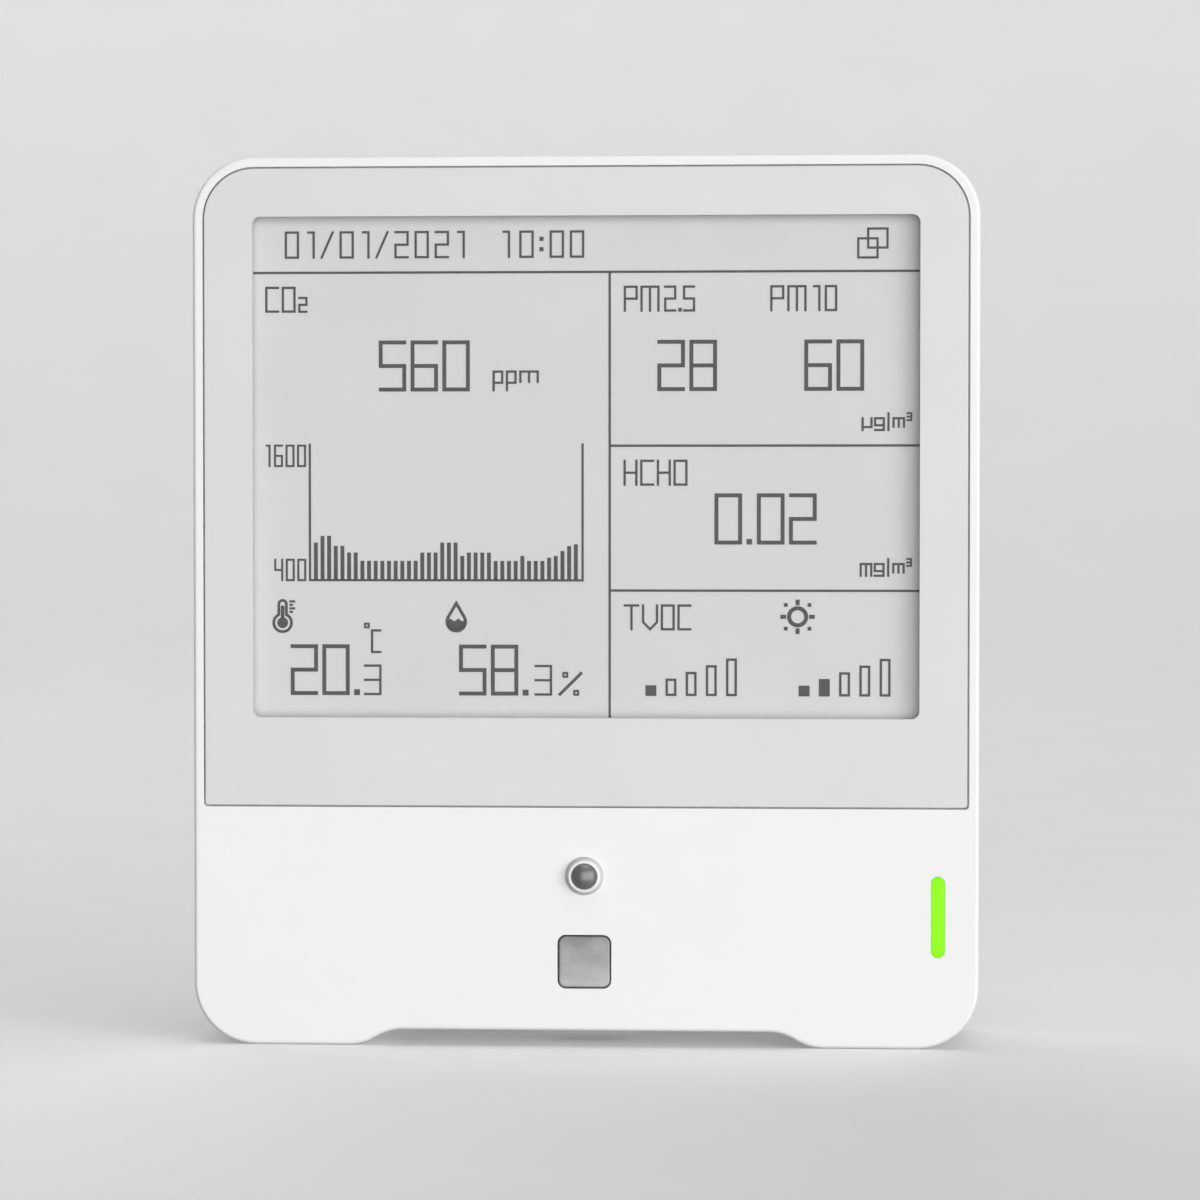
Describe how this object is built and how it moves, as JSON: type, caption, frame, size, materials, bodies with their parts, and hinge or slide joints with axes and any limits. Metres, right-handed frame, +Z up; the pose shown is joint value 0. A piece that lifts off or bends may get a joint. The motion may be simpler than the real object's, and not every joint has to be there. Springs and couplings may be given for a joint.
{
  "type": "air quality monitor",
  "caption": "Slim air quality monitor with a recessed monochrome display, sensor dome, press button, status light bar and a slide-off wall bracket.",
  "frame": {"origin": "in the plane under the two feet, in the middle of the width and of the overall depth", "axes": "+X to the right as the display is read, -Y out of the front face, +Y towards the wall, +Z up"},
  "size_m": [0.1, 0.024, 0.1132],
  "materials": {
    "casing_white": "fine satin texture",
    "inner_white": "moulded, satin",
    "panel_grey": "smooth, half gloss",
    "clear_window": "clear, polished",
    "display_glass": "paper-like, matt",
    "cushion_foam": "open foam",
    "flat_cable": "smooth film",
    "connector_ivory": "satin",
    "lens_dark": "polished",
    "button_silver": "satin, metallic paint",
    "light_green": "lit, translucent",
    "switch_metal": "satin",
    "chip_black": "moulded epoxy",
    "board_green": "solder mask over copper",
    "can_metal": "tinned",
    "sensor_gold": "plated",
    "filter_white": "felt membrane",
    "cell_wrap": "printed film sleeve",
    "contact_nickel": "nickel plate",
    "wire_red": "soft sleeve",
    "wire_black": "soft sleeve",
    "screw_steel": "zinc plated",
    "counter_blue": "moulded, satin"
  },
  "bodies": {
    "casing": {"front_shell": "casing_white", "rear_shell": "casing_white", "display_panel": "panel_grey", "display_window": "clear_window", "epaper_display": "display_glass", "display_cushion": "cushion_foam", "display_frame": "inner_white", "display_cable": "flat_cable", "display_connector": "connector_ivory", "sensor_collar": "casing_white", "motion_lens": "lens_dark", "motion_sensor": "can_metal", "switch_body": "switch_metal", "status_light_guide": "light_green", "status_leds": "connector_ivory", "light_sensor": "chip_black", "main_board": "board_green", "board_components": "chip_black", "usb_socket": "can_metal", "radio_module": "can_metal", "antenna_strip": "flat_cable", "antenna_cable": "wire_black", "buzzer": "chip_black", "voc_sensor": "can_metal", "co2_board": "board_green", "co2_chamber": "sensor_gold", "co2_filter": "filter_white", "formaldehyde_cell": "connector_ivory", "formaldehyde_filter": "filter_white", "climate_board": "board_green", "climate_sensor": "chip_black", "particle_housing": "counter_blue", "particle_lid": "can_metal", "particle_fan_motor": "sensor_gold", "particle_laser": "chip_black", "particle_detector": "board_green", "particle_cable": "wire_black", "particle_duct_seal": "cushion_foam", "battery_cells": "cell_wrap", "battery_springs": "contact_nickel", "battery_plates": "contact_nickel", "battery_leads": "wire_red", "case_screws": "screw_steel", "board_screws": "screw_steel", "frame_screws": "screw_steel"},
    "button": {"button_cap": "button_silver", "switch_plunger": "chip_black"},
    "fan": {"particle_fan_rotor": "chip_black"},
    "bracket": {"wall_bracket": "casing_white"}
  },
  "joints": [
    {"name": "button_press", "type": "slide", "parent": "casing", "child": "button", "axis": [0, 1, 0], "range_m": [0, 0.0003], "stiffness_N_per_m": 50},
    {"name": "fan_spin", "type": "hinge", "parent": "casing", "child": "fan", "pos_m": [0.0324, 0.00143, 0.0306], "axis": [0, 1, 0], "continuous": true},
    {"name": "bracket_slide", "type": "slide", "parent": "casing", "child": "bracket", "axis": [0, 0, -1], "range_m": [0, 0.008]}
  ]
}
